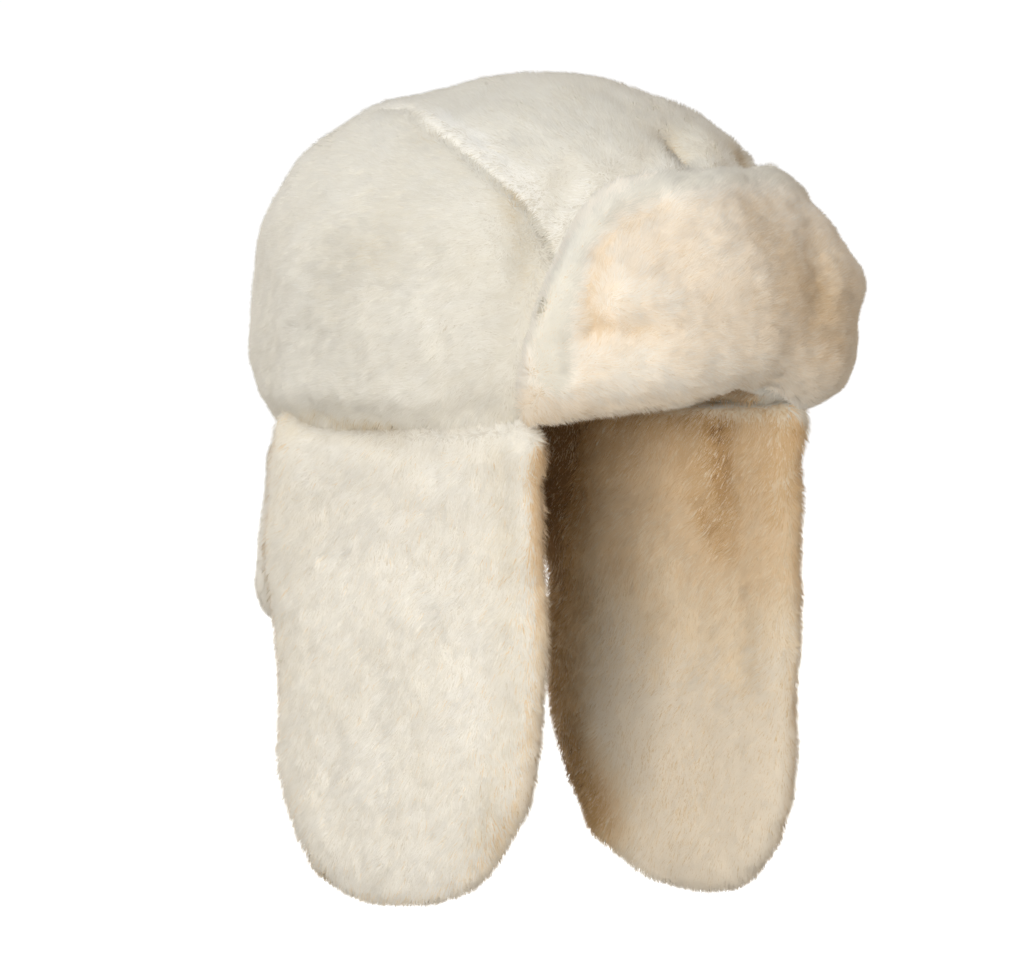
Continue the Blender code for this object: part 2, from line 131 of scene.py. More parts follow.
class Noise(Enum):
    """The smooth noises of a piece: the size of the cells in metres, and a number among them."""

    LOOSE_FILLING = (30 * MM, 0)
    LUMPS = (13 * MM, 5)
    SMALL_SWIRLS = (5 * MM, 10)
    WIDE_SWIRLS = (19 * MM, 20)
    CLUMPS = (3.2 * MM, 30)
    CLUMP_TILTS = (3.2 * MM, 40)
    CLOUDS = (24 * MM, 50)
    RAGGED_SEAMS = (16 * MM, 60)


def linear(hex_colour: str) -> tuple[float, float, float, float]:
    """Turns an sRGB hex colour to linear.

    Args:
        hex_colour: the colour as "#RRGGBB".

    Returns:
        Linear red, green and blue, and an alpha of 1.
    """
    parts = [int(hex_colour[i : i + 2], 16) / 255 for i in (1, 3, 5)]
    red, green, blue = (
        p / SRGB_TOE_SLOPE if p <= SRGB_TOE_END else ((p + SRGB_OFFSET) / SRGB_SCALE) ** SRGB_POWER
        for p in parts
    )
    return red, green, blue, 1.0


def add_node(
    tree: bpy.types.NodeTree, kind: str, settings: dict | None = None, inputs: dict | None = None
) -> bpy.types.Node:
    """Adds one shader node with its settings and links.

    Args:
        tree: the node tree that gets it.
        kind: the node's type name.
        settings: attributes of the node and their values.
        inputs: input names or numbers, each with a value or with the output to link to it.

    Returns:
        The new node.
    """
    node = tree.nodes.new(kind)
    for name, value in (settings or {}).items():
        setattr(node, name, value)
    for name, value in (inputs or {}).items():
        if isinstance(value, bpy.types.NodeSocket):
            tree.links.new(value, node.inputs[name])
        else:
            node.inputs[name].default_value = value
    return node


def eased(part: np.ndarray) -> np.ndarray:
    """Turns an even rise from 0 to 1 into one that starts and ends gently."""
    return part * part * (3 - 2 * part)


def faded(values: np.ndarray, low: float, high: float) -> np.ndarray:
    """A smooth step from 0 at low to 1 at high."""
    return eased(np.clip((values - low) / (high - low), 0, 1))


def unit(vectors: np.ndarray) -> np.ndarray:
    """The rows of an array, each made one long."""
    return vectors / np.maximum(np.linalg.norm(vectors, axis=1, keepdims=True), TINY)


def wavy(places: np.ndarray, wavelength: float, seed: int) -> np.ndarray:
    """Smooth noise from -1 to 1 that is the same each run.

    Args:
        places: points as rows, in metres.
        wavelength: the size of its cells in metres.
        seed: which noise of many.

    Returns:
        One value for each point.
    """
    scaled = places / wavelength
    cell = np.floor(scaled).astype(np.int64)
    part = eased(scaled - cell)
    total = np.zeros(len(places))
    for corner in itertools.product((0, 1), repeat=3):
        x, y, z = (cell + np.array(corner)).T
        mixed = (x * CELL_FACTORS[0]) ^ (y * CELL_FACTORS[1]) ^ (z * CELL_FACTORS[2])
        mixed = (mixed ^ (seed * SEED_FACTOR)) & HASH_BITS
        mixed = ((mixed ^ (mixed >> MIX_SHIFTS[0])) * MIX_FACTOR) & HASH_BITS
        mixed = mixed ^ (mixed >> MIX_SHIFTS[1])
        share = np.prod(np.where(np.array(corner) == 1, part, 1 - part), axis=1)
        total += share * (mixed / HASH_MIDDLE - 1)
    return total


def facing_in(places: np.ndarray, normals: np.ndarray, roundness: float = 1.0) -> np.ndarray:
    """How squarely places of a skin face the middle of the hat.

    Args:
        places: the places as rows, in metres.
        normals: the directions that they face, as rows.
        roundness: how much Y and Z count for the way to the middle; X counts as 1.

    Returns:
        A value for each place, from -1 for straight out to 1 for straight in.
    """
    outward = places * [1, roundness, roundness]
    outward[:, 2] = np.maximum(outward[:, 2] - HOLLOW_MIDDLE, 0)
    return -np.sum(unit(outward) * normals, axis=1)


def mesh_object(
    name: str, points: np.ndarray, faces: np.ndarray, normals: np.ndarray | None = None,
    slots: np.ndarray | None = None,
) -> bpy.types.Object:
    """Makes a smooth-shaded object from arrays.

    Args:
        name: the object's name.
        points: vertex places as rows, in metres.
        faces: vertex numbers as rows, all of one length.
        normals: a shading normal for each vertex, where the faces' own aren't used.
        slots: a material slot number for each face.

    Returns:
        The object, linked to the scene.
    """
    corners = faces.shape[1]
    mesh = bpy.data.meshes.new(name)
    mesh.vertices.add(len(points))
    mesh.vertices.foreach_set("co", points.astype(np.float32).ravel())
    mesh.loops.add(faces.size)
    mesh.loops.foreach_set("vertex_index", faces.astype(np.int32).ravel())
    mesh.polygons.add(len(faces))
    mesh.polygons.foreach_set("loop_start", np.arange(0, faces.size, corners, dtype=np.int32))
    if slots is not None:
        mesh.polygons.foreach_set("material_index", slots.astype(np.int32))
    mesh.update(calc_edges=True)
    mesh.polygons.foreach_set("use_smooth", np.ones(len(faces), bool))
    if normals is not None:
        mesh.normals_split_custom_set_from_vertices(normals.astype(np.float32))
    made = bpy.data.objects.new(name, mesh)
    bpy.context.scene.collection.objects.link(made)
    return made


@dataclass(frozen=True)
class UnderWool:
    """Short wool under the pile, sheared and steamed: matt, soft and a little darker and warmer.

    Attributes:
        name: the material's name.
        light: colour of its upstanding tufts.
        deep: colour between the tufts, where light goes in and comes out warmer.
        tuft: how wide a clump of steamed wool is, in metres.
        cloud: how wide the slow changes of shade are, in metres.
    """

    name: str
    light: str
    deep: str
    tuft: float = 2.2 * MM
    cloud: float = 30 * MM

    def material(self) -> bpy.types.Material:
        """Makes the node material.

        Returns:
            The material, with its clumps and clouds at their real sizes.
        """
        made = bpy.data.materials.new(self.name)
        made.use_nodes = True
        tree = made.node_tree
        tree.nodes.clear()
        place = add_node(tree, "ShaderNodeTexCoord")
        tufts = add_node(
            tree, "ShaderNodeTexNoise", {},
            {"Vector": place.outputs["Object"], "Scale": 1 / self.tuft, "Detail": 3.0,
             "Roughness": 0.6},
        )
        clouds = add_node(
            tree, "ShaderNodeTexNoise", {},
            {"Vector": place.outputs["Object"], "Scale": 1 / self.cloud, "Detail": 2.0},
        )
        # Half of the clouds on the whole of the tufts: the clumps show first, the clouds after.
        both = add_node(
            tree, "ShaderNodeMath", {"operation": "MULTIPLY_ADD"},
            {0: clouds.outputs["Fac"], 1: 0.5, 2: tufts.outputs["Fac"]},
        )
        shade = add_node(
            tree, "ShaderNodeMapRange", {"interpolation_type": "SMOOTHSTEP"},
            {"Value": both.outputs[0], "From Min": 0.5, "From Max": 1.0},
        )
        colour = add_node(
            tree, "ShaderNodeMix", {"data_type": "RGBA"},
            {"Factor": shade.outputs["Result"], 6: linear(self.deep), 7: linear(self.light)},
        )
        relief = add_node(
            tree, "ShaderNodeBump", {},
            {"Height": tufts.outputs["Fac"], "Strength": 0.8, "Distance": 0.6 * MM},
        )
        # Wool is rough and hairy: it has no shine, and a faint pale bloom where it turns away.
        wool = add_node(
            tree, "ShaderNodeBsdfPrincipled", {},
            {
                "Base Color": colour.outputs[2], "Normal": relief.outputs["Normal"],
                "Roughness": 0.95, "IOR": 1.5, "Specular IOR Level": 0.2, "Sheen Weight": 0.25,
                "Sheen Roughness": 0.6, "Sheen Tint": linear("#FFF6E6"),
            },
        )
        add_node(tree, "ShaderNodeOutputMaterial", {}, {"Surface": wool.outputs[0]})
        return made


@dataclass(frozen=True)
class ShearedPile:
    """Sheared plush pile, drawn as leaning tufts: each is one even shade, and the shades mix.

    Attributes:
        name: the start of its materials' names.
        shades: colours from warm painted shade deep in the seams to pale painted highlight on the
            swells; the first is for the deepest folds alone.
    """

    name: str
    shades: tuple[str, ...]

    def materials(self) -> list[bpy.types.Material]:
        """Makes one material for each shade.

        Returns:
            The materials in the order of the shades.
        """
        made = []
        for number, shade in enumerate(self.shades):
            one = bpy.data.materials.new(f"{self.name}_{number}")
            one.use_nodes = True
            tree = one.node_tree
            tree.nodes.clear()
            # Sheared fibre ends scatter light: the pile is matt, with a soft light edge.
            pile = add_node(
                tree, "ShaderNodeBsdfPrincipled", {},
                {
                    "Base Color": linear(shade), "Roughness": 0.85, "IOR": 1.5,
                    "Specular IOR Level": 0.2, "Sheen Weight": 0.3, "Sheen Roughness": 0.5,
                    "Sheen Tint": linear("#FFF8EC"),
                },
            )
            add_node(tree, "ShaderNodeOutputMaterial", {}, {"Surface": pile.outputs[0]})
            made.append(one)
        return made


# Ivory under wool: a quiet cool ground that keeps the crown's pile even.
CROWN_WOOL = UnderWool("sheared_under_wool_ivory", "#DCD8CE", "#CBC4B6")
# Warm cream under wool: a soft yellow glow between the tufts of the brow.
BROW_WOOL = UnderWool("sheared_under_wool_warm_cream", "#E6DCCC", "#D8C8AF")
# Pale ivory under wool: a light ground, so that the flaps look thick and clean.
FLAP_WOOL = UnderWool("sheared_under_wool_pale_ivory", "#E2DED4", "#D2CABB")
# Tan under wool: painted shade for the warm dark ground inside the hat.
INSIDE_SHADE_WOOL = UnderWool("matted_under_wool_tan", "#E6DAC6", "#D6C2A0")
# Ivory sheared plush: calm and matt, a little browner with painted shade where it goes down into a
# seam.
CROWN_PILE = ShearedPile(
    "sheared_plush_ivory", ("#B09A7A", "#CCBDA2", "#D6CEBD", "#DAD5C9", "#E0DCD2", "#E9E6DF")
)
# Warm cream sheared plush: honey as painted shade in its dents, and nearly white as painted
# highlight on its swells.
BROW_PILE = ShearedPile(
    "sheared_plush_warm_cream", ("#B89A70", "#DCC5A1", "#E3D2B8", "#EADFCE", "#ECE6DB", "#E2DED3")
)
# Pale ivory sheared plush: the lightest and thickest-looking fur of the hat.
FLAP_PILE = ShearedPile(
    "sheared_plush_pale_ivory", ("#B09873", "#D3C5AD", "#DDD6C7", "#E3DED3", "#E8E4DB", "#ECE9E3")
)
# Tan plush: painted shade inside the hat, warm and dark up under the crown and paler towards the
# flaps' feet.
INSIDE_SHADE_PILE = ShearedPile(
    "matted_plush_tan", ("#A07C54", "#C8A677", "#D8BD95", "#E2CDAD", "#E8DAC2", "#EBE2D2")
)


@dataclass(frozen=True)
class Fold:
    """A dent or a swell that a path of places makes in a padded skin.

    Attributes:
        path: the places it runs through, in metres.
        depth: how far it sinks, in metres; below 0 it swells.
        width: how far from its path it has nearly faded, in metres.
        painted_shade: how much warmer and darker its pile is, as painted shade; below 0 it is
            paler, as painted highlight.
    """

    path: tuple[tuple[float, float, float], ...]
    depth: float
    width: float
    painted_shade: float = 0.0

    def share(self, places: np.ndarray) -> np.ndarray:
        """How much of the fold each of the places has.

        Args:
            places: the places as rows, in metres.

        Returns:
            A value for each place, from 0 far away to 1 on the path.
        """
        nearest = np.full(len(places), np.inf)
        for start, end in itertools.pairwise(np.array(p) for p in self.path):
            along = end - start
            share = np.clip((places - start) @ along / (along @ along), 0, 1)
            away = np.linalg.norm(places - start - share[:, None] * along, axis=1)
            nearest = np.minimum(nearest, away)
        return np.exp(-FOLD_FALL_OFF * (nearest / self.width) ** 2)

    def mirrored(self) -> "Fold":
        """The same fold on the wearer's other side."""
        path = tuple((-x, y, z) for x, y, z in self.path)
        return Fold(path, self.depth, self.width, self.painted_shade)


def on_side(side: Side, folds: tuple[Fold, ...]) -> tuple[Fold, ...]:
    """Folds that are given for the wearer's left, mirrored where the side is the right."""
    return folds if side is Side.LEFT else tuple(fold.mirrored() for fold in folds)


@dataclass
class Roots:
    """Where the tufts of a piece stand, with one row or value for each tuft.

    Attributes:
        places: the places on the skin, in metres.
        normals: the directions that the skin faces there.
        heights: how high the pile stands off the skin there, in metres.
        nearness: how far off the next piece is, in metres.
        painted_shades: how much warmer and darker the folds' painted shade makes the pile there.
        seamward: the directions towards the next piece.
        clumps: how the pile clumps there, from -1 to 1.
    """

    places: np.ndarray
    normals: np.ndarray
    heights: np.ndarray
    nearness: np.ndarray
    painted_shades: np.ndarray
    seamward: np.ndarray
    clumps: np.ndarray


@dataclass
class PlushPiece:
    """One padded piece of the hat: the skin over its filling, and the pile that stands on it.

    Attributes:
        node: the CAD node that it stands for.
        slot: the record's material slot; not used.
        wool: the finish of the skin's outside.
        pile: the finish of the pile on its outside.
        flow: the way the pile is brushed.
        blades: how many tufts of pile are drawn.
        folds: the dents and swells of its skin.
        seed: which random draws of many.
        voxel: the mesh size of the skin, in metres.
        pile_height: how high the pile stands off the skin, in metres.
        pile_length: how long a tuft is, in metres.
        tuft_width: how wide a tuft is at its foot, in metres.
        hollow_share: how much of the pile grows on the faces inside the head hollow.
        inside_shade_reach: how far the inside's tan painted shade comes out round the edges; -1
            leaves it out.
        roundness: how far the inside is told by the way to the hat's middle; at 0 only by X.
        splay: how strongly the pile leans over the seams.
        painted_seam_shade: how much warmer the pile is along the seams, as painted shade in the
            crease; below 0 it is paler there, as painted highlight.
        nearness: how far off the next piece is from each vertex of the skin, in metres.
        seamward: the direction from each vertex to the next piece.
        inset: how far the skin sinks at each vertex to leave room for the pile, in metres.
        painted_shade: how much warmer and darker the folds' painted shade makes the pile at each
            vertex.
    """

    node: str
    slot: str
    wool: UnderWool
    pile: ShearedPile
    flow: Flow
    blades: int
    folds: tuple[Fold, ...]
    seed: int
    voxel: float = 3 * MM
    pile_height: float = 2.4 * MM
    pile_length: float = 5.4 * MM
    # The real fibres are a few hundredths of a millimetre wide, too fine to show in the render.
    # So one tuft stands for a few dozen of them, and is drawn as coarse as it needs to show.
    tuft_width: float = 0.60 * MM
    hollow_share: float = 0.35
    inside_shade_reach: float = 0.0
    roundness: float = 1.0
    splay: float = 1.0
    painted_seam_shade: float = 0.10
    nearness: np.ndarray = field(init=False, repr=False)
    seamward: np.ndarray = field(init=False, repr=False)
    inset: np.ndarray = field(init=False, repr=False)
    painted_shade: np.ndarray = field(init=False, repr=False)

    def noise(self, which: Noise, places: np.ndarray) -> np.ndarray:
        """One of the piece's smooth noises at each of the places, from -1 to 1."""
        wavelength, number = which.value
        return wavy(places, wavelength, self.seed + number)

    def noise_vectors(self, which: Noise, places: np.ndarray) -> np.ndarray:
        """Three independent values of a noise at each of the places, as rows."""
        wavelength, number = which.value
        return np.stack([wavy(places, wavelength, self.seed + number + i) for i in range(3)], 1)

    def neighbours(self) -> BVHTree:
        """Gathers all the other CAD nodes.

        Returns:
            A search tree of their faces.
        """
        points: list[Vector] = []
        faces: list[tuple[int, ...]] = []
        for name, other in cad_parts.items():
            if name != self.node:
                first = len(points)
                points.extend(v.co.copy() for v in other.data.vertices)
                faces.extend(tuple(first + i for i in p.vertices) for p in other.data.polygons)
        return BVHTree.FromPolygons(points, faces)

    def remeshed(self) -> bpy.types.Object:
        """Makes the CAD node's form again with an even mesh, its hard edges eased.

        Returns:
            The new object, linked to the scene.
        """
        source = bpy.data.objects.new(self.node + "_form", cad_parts[self.node].data.copy())
        bpy.context.scene.collection.objects.link(source)
        even = source.modifiers.new("even", "REMESH")
        even.mode = "VOXEL"
        even.voxel_size = self.voxel
        smooth = source.modifiers.new("eased", "SMOOTH")
        smooth.factor = 0.5
        smooth.iterations = 4
        graph = bpy.context.evaluated_depsgraph_get()
        mesh = bpy.data.meshes.new_from_object(source.evaluated_get(graph))
        bpy.data.objects.remove(source)
        made = bpy.data.objects.new(self.node + "_skin", mesh)
        bpy.context.scene.collection.objects.link(made)
        mesh.materials.clear()
        mesh.polygons.foreach_set("use_smooth", np.ones(len(mesh.polygons), bool))
        return made

    @staticmethod
    def vertex_arrays(mesh: bpy.types.Mesh) -> tuple[np.ndarray, np.ndarray]:
        """Reads a mesh's vertices.

        Args:
            mesh: the mesh.

        Returns:
            Their places and their normals, as rows.
        """
        places = np.zeros(len(mesh.vertices) * 3)
        normals = np.zeros(len(mesh.vertices) * 3)
        mesh.vertices.foreach_get("co", places)
        mesh.vertex_normals.foreach_get("vector", normals)
        return places.reshape(-1, 3), normals.reshape(-1, 3)

    def inwardness(self, places: np.ndarray, normals: np.ndarray) -> np.ndarray:
        """How much of the inside's tan painted shade shows at places of the skin.

        Args:
            places: the places as rows, in metres.
            normals: the directions that they face, as rows.

        Returns:
            A value for each place, from 0 outside to 1 inside.
        """
        inward = facing_in(places, normals, self.roundness)
        below = faded(-places[:, 2], *INSIDE_SHADE_START)
        reach = min(self.inside_shade_reach, 0) + max(self.inside_shade_reach, 0) * below
        return faded(inward + reach, *INSIDE_SHADE_FACING)

    def build_skin(self) -> bpy.types.Object:
        """Makes the skin: the CAD form less the height of the pile, with its folds.

        Returns:
            The skin. What the pile needs of it is kept in nearness, seamward, inset and tint.
        """
        skin = self.remeshed()
        places, normals = self.vertex_arrays(skin.data)
        others = self.neighbours()
        spots, _, _, gaps = zip(*(others.find_nearest(Vector(p)) for p in places))
        self.nearness = np.array(gaps)
        self.seamward = unit(np.array([tuple(spot) for spot in spots]) - places)
        depth_share = SEAM_INSET + ADDED_INSET * faded(self.nearness, *INSET_BAND)
        self.inset = self.pile_height * depth_share
        sink = self.inset.copy()
        calm = faded(self.nearness, *CALM_BAND)
        sink -= FILLING_SWELL * self.noise(Noise.LOOSE_FILLING, places) * calm
        sink -= LUMP_SWELL * self.noise(Noise.LUMPS, places) * calm
        self.painted_shade = np.zeros(len(places))
        # Each fold also paints warm shade into the pile along it, or a pale painted highlight where
        # its value is below 0.
        for fold in self.folds:
            share = fold.share(places)
            sink += fold.depth * share
            self.painted_shade += fold.painted_shade * share
        moved = places - normals * sink[:, None]
        skin.data.vertices.foreach_set("co", moved.astype(np.float32).ravel())
        # Faces that look into the hat take the tan under wool, which is painted shade.
        inside_shade = self.inwardness(places, normals) > INSIDE_SHADE_FROM
        corners = np.zeros(len(skin.data.loops), np.int32)
        skin.data.loops.foreach_get("vertex_index", corners)
        starts = np.zeros(len(skin.data.polygons), np.int32)
        skin.data.polygons.foreach_get("loop_start", starts)
        skin.data.polygons.foreach_set("material_index", inside_shade[corners[starts]].astype(np.int32))
        skin.data.update()
        return skin

    def grown_share(self, places: np.ndarray, normals: np.ndarray) -> np.ndarray:
        """How thickly pile grows at places of the skin: less inside the head hollow.

        Args:
            places: the places as rows, in metres.
            normals: the directions that they face, as rows.

        Returns:
            A value for each place, from 0 for bare to 1 for full.
        """
        inside = (facing_in(places, normals) > HOLLOW_FACING) & (places[:, 2] > HOLLOW_BOTTOM)
        return 1 - (1 - self.hollow_share) * inside

    def brushed(
        self, places: np.ndarray, normals: np.ndarray, random: np.random.Generator
    ) -> np.ndarray:
        """Finds the way that each tuft was brushed, before it is laid on the skin.

        Args:
            places: where the tufts stand, as rows in metres.
            normals: the directions that the skin faces there, as rows.
            random: the piece's random draws.

        Returns:
            A direction for each tuft, as rows of no set length.
        """
        flow = np.array(self.flow.value) / np.linalg.norm(self.flow.value)
        lean = np.tile(flow, (len(places), 1))
        lean[:, 2] -= BACK_LEAN * faded(normals[:, 1], *BACK_FACING)
        lean += SMALL_SWIRL * self.noise_vectors(Noise.SMALL_SWIRLS, places)
        lean += WIDE_SWIRL * self.noise_vectors(Noise.WIDE_SWIRLS, places)
        lean += STRAY * random.normal(size=places.shape)
        return lean

    def planted(self, mesh: bpy.types.Mesh, random: np.random.Generator) -> Roots:
        """Scatters the tufts over the skin: evenly, but thinly in the hollow and in the seams.

        Args:
            mesh: the skin's mesh.
            random: the piece's random draws.

        Returns:
            Where the tufts stand.
        """
        places, normals = self.vertex_arrays(mesh)
        mesh.calc_loop_triangles()
        corners = np.zeros(len(mesh.loop_triangles) * 3, np.int32)
        mesh.loop_triangles.foreach_get("vertices", corners)
        corners = corners.reshape(-1, 3)
        a, b, c = (places[corners[:, i]] for i in range(3))
        area = np.linalg.norm(np.cross(b - a, c - a), axis=1) / 2
        share = self.grown_share((a + b + c) / 3, unit(normals[corners].sum(1)))
        share = share * faded(self.nearness[corners].mean(1), *GROWTH_BAND)
        weight = area * share
        chosen = random.choice(len(corners), self.blades, p=weight / weight.sum())
        mix = -np.log(np.maximum(random.random((self.blades, 3)), SMALLEST_DRAW))
        mix /= mix.sum(1, keepdims=True)
        at = corners[chosen]
        rooted = np.einsum("ij,ijk->ik", mix, places[at])
        return Roots(
            places=rooted,
            normals=unit(np.einsum("ij,ijk->ik", mix, normals[at])),
            heights=np.einsum("ij,ij->i", mix, self.inset[at]),
            nearness=np.einsum("ij,ij->i", mix, self.nearness[at]),
            painted_shades=np.einsum("ij,ij->i", mix, self.painted_shade[at]),
            seamward=np.einsum("ij,ijk->ik", mix, self.seamward[at]),
            clumps=self.noise(Noise.CLUMPS, rooted),
        )

    def tuft_corners(self, roots: Roots, random: np.random.Generator) -> np.ndarray:
        """Draws each tuft as a thin triangle that leans from its root to its tip.

        Args:
            roots: where the tufts stand.
            random: the piece's random draws.

        Returns:
            The three corners of each tuft, in metres, in the order that faces outwards.
        """
        normal = roots.normals
        seam = 1 - faded(roots.nearness, *SEAM_BAND)
        lean = self.brushed(roots.places, normal, random)
        lean = lean + SEAM_LEAN * self.splay * seam[:, None] * roots.seamward
        lean = unit(lean - np.sum(lean * normal, 1, keepdims=True) * normal)
        length = self.pile_length * random.uniform(*LENGTH_RANGE, self.blades)
        length *= 1 + SEAM_RAGGEDNESS * seam * self.noise(Noise.RAGGED_SEAMS, roots.places)
        rise = (roots.heights + TIP_RISE + SEAM_RISE * seam) * (
            random.uniform(*RISE_RANGE, self.blades) + CLUMP_RISE * roots.clumps
        )
        steep = np.clip(rise / length, *STEEPNESS)
        direction = normal * steep[:, None] + lean * np.sqrt(1 - steep**2)[:, None]
        across = unit(np.cross(direction, normal))
        raised = np.cross(across, direction)
        roll = random.normal(0, ROLL, self.blades)[:, None]
        across = across * np.cos(roll) + raised * np.sin(roll)
        width = self.tuft_width * random.uniform(*WIDTH_RANGE, self.blades)
        half = across * (width / 2)[:, None]
        foot = roots.places - normal * FOOT_DEPTH_MM * MM
        points = np.stack([foot - half, foot + half, foot + direction * length[:, None]], 1)
        turned = np.cross(points[:, 1] - points[:, 0], points[:, 2] - points[:, 0])
        back = np.sum(turned * normal, axis=1) < 0
        points[back] = points[back][:, [1, 0, 2]]
        return points

    def tuft_slots(self, roots: Roots, random: np.random.Generator) -> np.ndarray:
        """Chooses the shade of each tuft: of the piece's own pile, or of the inside's tan painted
        shade.

        Args:
            roots: where the tufts stand.
            random: the piece's random draws.

        Returns:
            A material slot number for each tuft.
        """
        inside_shade = self.inwardness(roots.places, roots.normals)
        cloud = self.noise(Noise.CLOUDS, roots.places)
        # Folds push a tuft towards the warm dark shades, painted shade, or towards the pale ones,
        # painted highlight.
        level = MIDDLE_SHADE + CLOUD_SHADE * cloud + CLUMP_SHADE * roots.clumps - roots.painted_shades
        # Painted shade in the seams' creases, or painted highlight where the piece's value is below
        # 0.
        level -= self.painted_seam_shade * (1 - faded(roots.nearness, *SEAM_SHADE_BAND))
        loss = INSIDE_SHADE_DEEPENING * faded(roots.places[:, 2], *INSIDE_SHADE_HEIGHTS)
        level += inside_shade * (INSIDE_SHADE_FOOT_LIFT - loss)
        level += TUFT_SHADE * random.normal(size=self.blades)
        count = len(self.pile.shades)
        slots = np.clip(np.floor(level * (count - 1)) + 1, 0, count - 1).astype(int)
        slots[random.random(self.blades) < inside_shade] += count
        return slots

    def build_pile(self, skin: bpy.types.Object) -> bpy.types.Object:
        """Grows the pile on the skin as thin leaning tufts.

        Args:
            skin: the finished skin.

        Returns:
            The pile as one mesh, a triangle for each tuft.
        """
        random = np.random.default_rng(self.seed)
        roots = self.planted(skin.data, random)
        points = self.tuft_corners(roots, random)
        tilt = self.noise_vectors(Noise.CLUMP_TILTS, roots.places)
        stray = random.normal(size=roots.places.shape)
        shading = unit(roots.normals + CLUMP_TILT * tilt + TUFT_TILT * stray)
        slots = self.tuft_slots(roots, random)
        faces = np.arange(self.blades * 3).reshape(-1, 3)
        return mesh_object(
            self.node + "_pile", points.reshape(-1, 3), faces, np.repeat(shading, 3, axis=0), slots
        )

    def dress(self, skin: bpy.types.Object, pile: bpy.types.Object) -> None:
        """Gives the skin and the pile their finishes and their places in the frame.

        Args:
            skin: the skin, which stands for the CAD node.
            pile: the pile that grows on it.
        """
        # The second finishes are the tan painted shade of the hat's inside.
        for wool in (self.wool, INSIDE_SHADE_WOOL):
            skin.data.materials.append(wool.material())
        for shade in self.pile.materials() + INSIDE_SHADE_PILE.materials():
            pile.data.materials.append(shade)
        for part in (skin, pile):
            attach(part, "root")
        # Real fibres let light through to the wool, so the coarse drawn tufts cast no shadow.
        pile.visible_shadow = False
        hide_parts(self.node)

    def make(self) -> None:
        """Builds and dresses the piece, and reports it."""
        skin = self.build_skin()
        pile = self.build_pile(skin)
        self.dress(skin, pile)
        faces = len(skin.data.polygons)
        LOG.info("%s: skin of %d faces, pile of %d tufts", self.node, faces, self.blades)


@dataclass
class Crown:
    """The crown's centre panel and its two side panels.

    Attributes:
        centre_blades: tufts drawn on the centre panel.
        side_blades: tufts drawn on each side panel.
        crease_depth: how deep the fold behind the brow's top is, in metres; the shallow fold and
            the two swells beside it are shares of it.
        crease_width: how wide they are, in metres.
        hem_swell: how far the side panels swell over the ear flaps, in metres.
    """

    centre_blades: int = 128_000
    side_blades: int = 118_000
    crease_depth: float = 6.5 * MM
    crease_width: float = 11 * MM
    hem_swell: float = 3 * MM

    def centre_folds(self) -> tuple[Fold, ...]:
        """Gives the folds behind the brow's top edge, darkened with painted shade, and the pale
        strips beside the side seams, which are painted highlight.

        Returns:
            The centre panel's folds.
        """
        strip = Fold(
            ((-0.062, 0.009, 0.128), (-0.069, -0.051, 0.106), (-0.078, -0.072, 0.086)),
            -1 * MM, 12 * MM, -0.28,
        )
        depth, width = self.crease_depth, self.crease_width
        return (
            strip, strip.mirrored(),
            Fold(((-0.005, -0.083, 0.123), (-0.006, -0.090, 0.114)), depth, width, 0.50),
            Fold(((0.030, -0.087, 0.113), (0.037, -0.086, 0.107)), 0.1 * depth, width, 0.70),
            Fold(((0.047, -0.080, 0.104), (0.047, -0.086, 0.096)), -0.5 * depth, width),
            Fold(((0.013, -0.085, 0.119), (0.013, -0.081, 0.122)), -0.4 * depth, width),
        )

    def side_folds(self) -> tuple[Fold, ...]:
        """Gives the full hem over the ear flap, the front seam in tan painted shade, and the dent
        and the seam over the ear flap, both darkened with painted shade.

        Returns:
            The left side panel's folds.
        """
        hem = Fold(
            ((0.093, 0.060, 0.011), (0.107, 0.020, 0.012), (0.107, -0.030, 0.011)),
            -self.hem_swell, 15 * MM,
        )
        tan = Fold(
            ((0.068, -0.022, 0.115), (0.074, -0.048, 0.103), (0.083, -0.064, 0.086),
             (0.088, -0.070, 0.070)),
            0.0, 9 * MM, 0.35,
        )
        dent = Fold(((0.107, -0.008, 0.074), (0.107, 0.022, 0.070)), 2.5 * MM, 28 * MM, 0.10)
        shaded_seam = Fold(
            ((0.091, 0.066, 0.002), (0.098, 0.047, 0.001), (0.1005, 0.036, 0.006),
             (0.1025, 0.018, 0.001), (0.1030, -0.018, 0.001)),
            1 * MM, 3.2 * MM, 0.42,
        )
        return hem, tan, dent, shaded_seam

    def make(self) -> None:
        """Builds and dresses the three panels."""
        # The centre's seams are paled with painted highlight; the sides keep the default painted
        # shade in their seams.
        PlushPiece(
            "crown_centre", "crown_plush", CROWN_WOOL, CROWN_PILE, Flow.BACK_AND_DOWN,
            self.centre_blades, self.centre_folds(), seed=100, splay=0.6, painted_seam_shade=-0.12,
        ).make()
        for side in Side:
            PlushPiece(
                f"crown_side_{side.name.lower()}", "crown_plush", CROWN_WOOL, CROWN_PILE,
                Flow.BACK_AND_DOWN, self.side_blades, on_side(side, self.side_folds()),
                seed=200 + side.value,
            ).make()


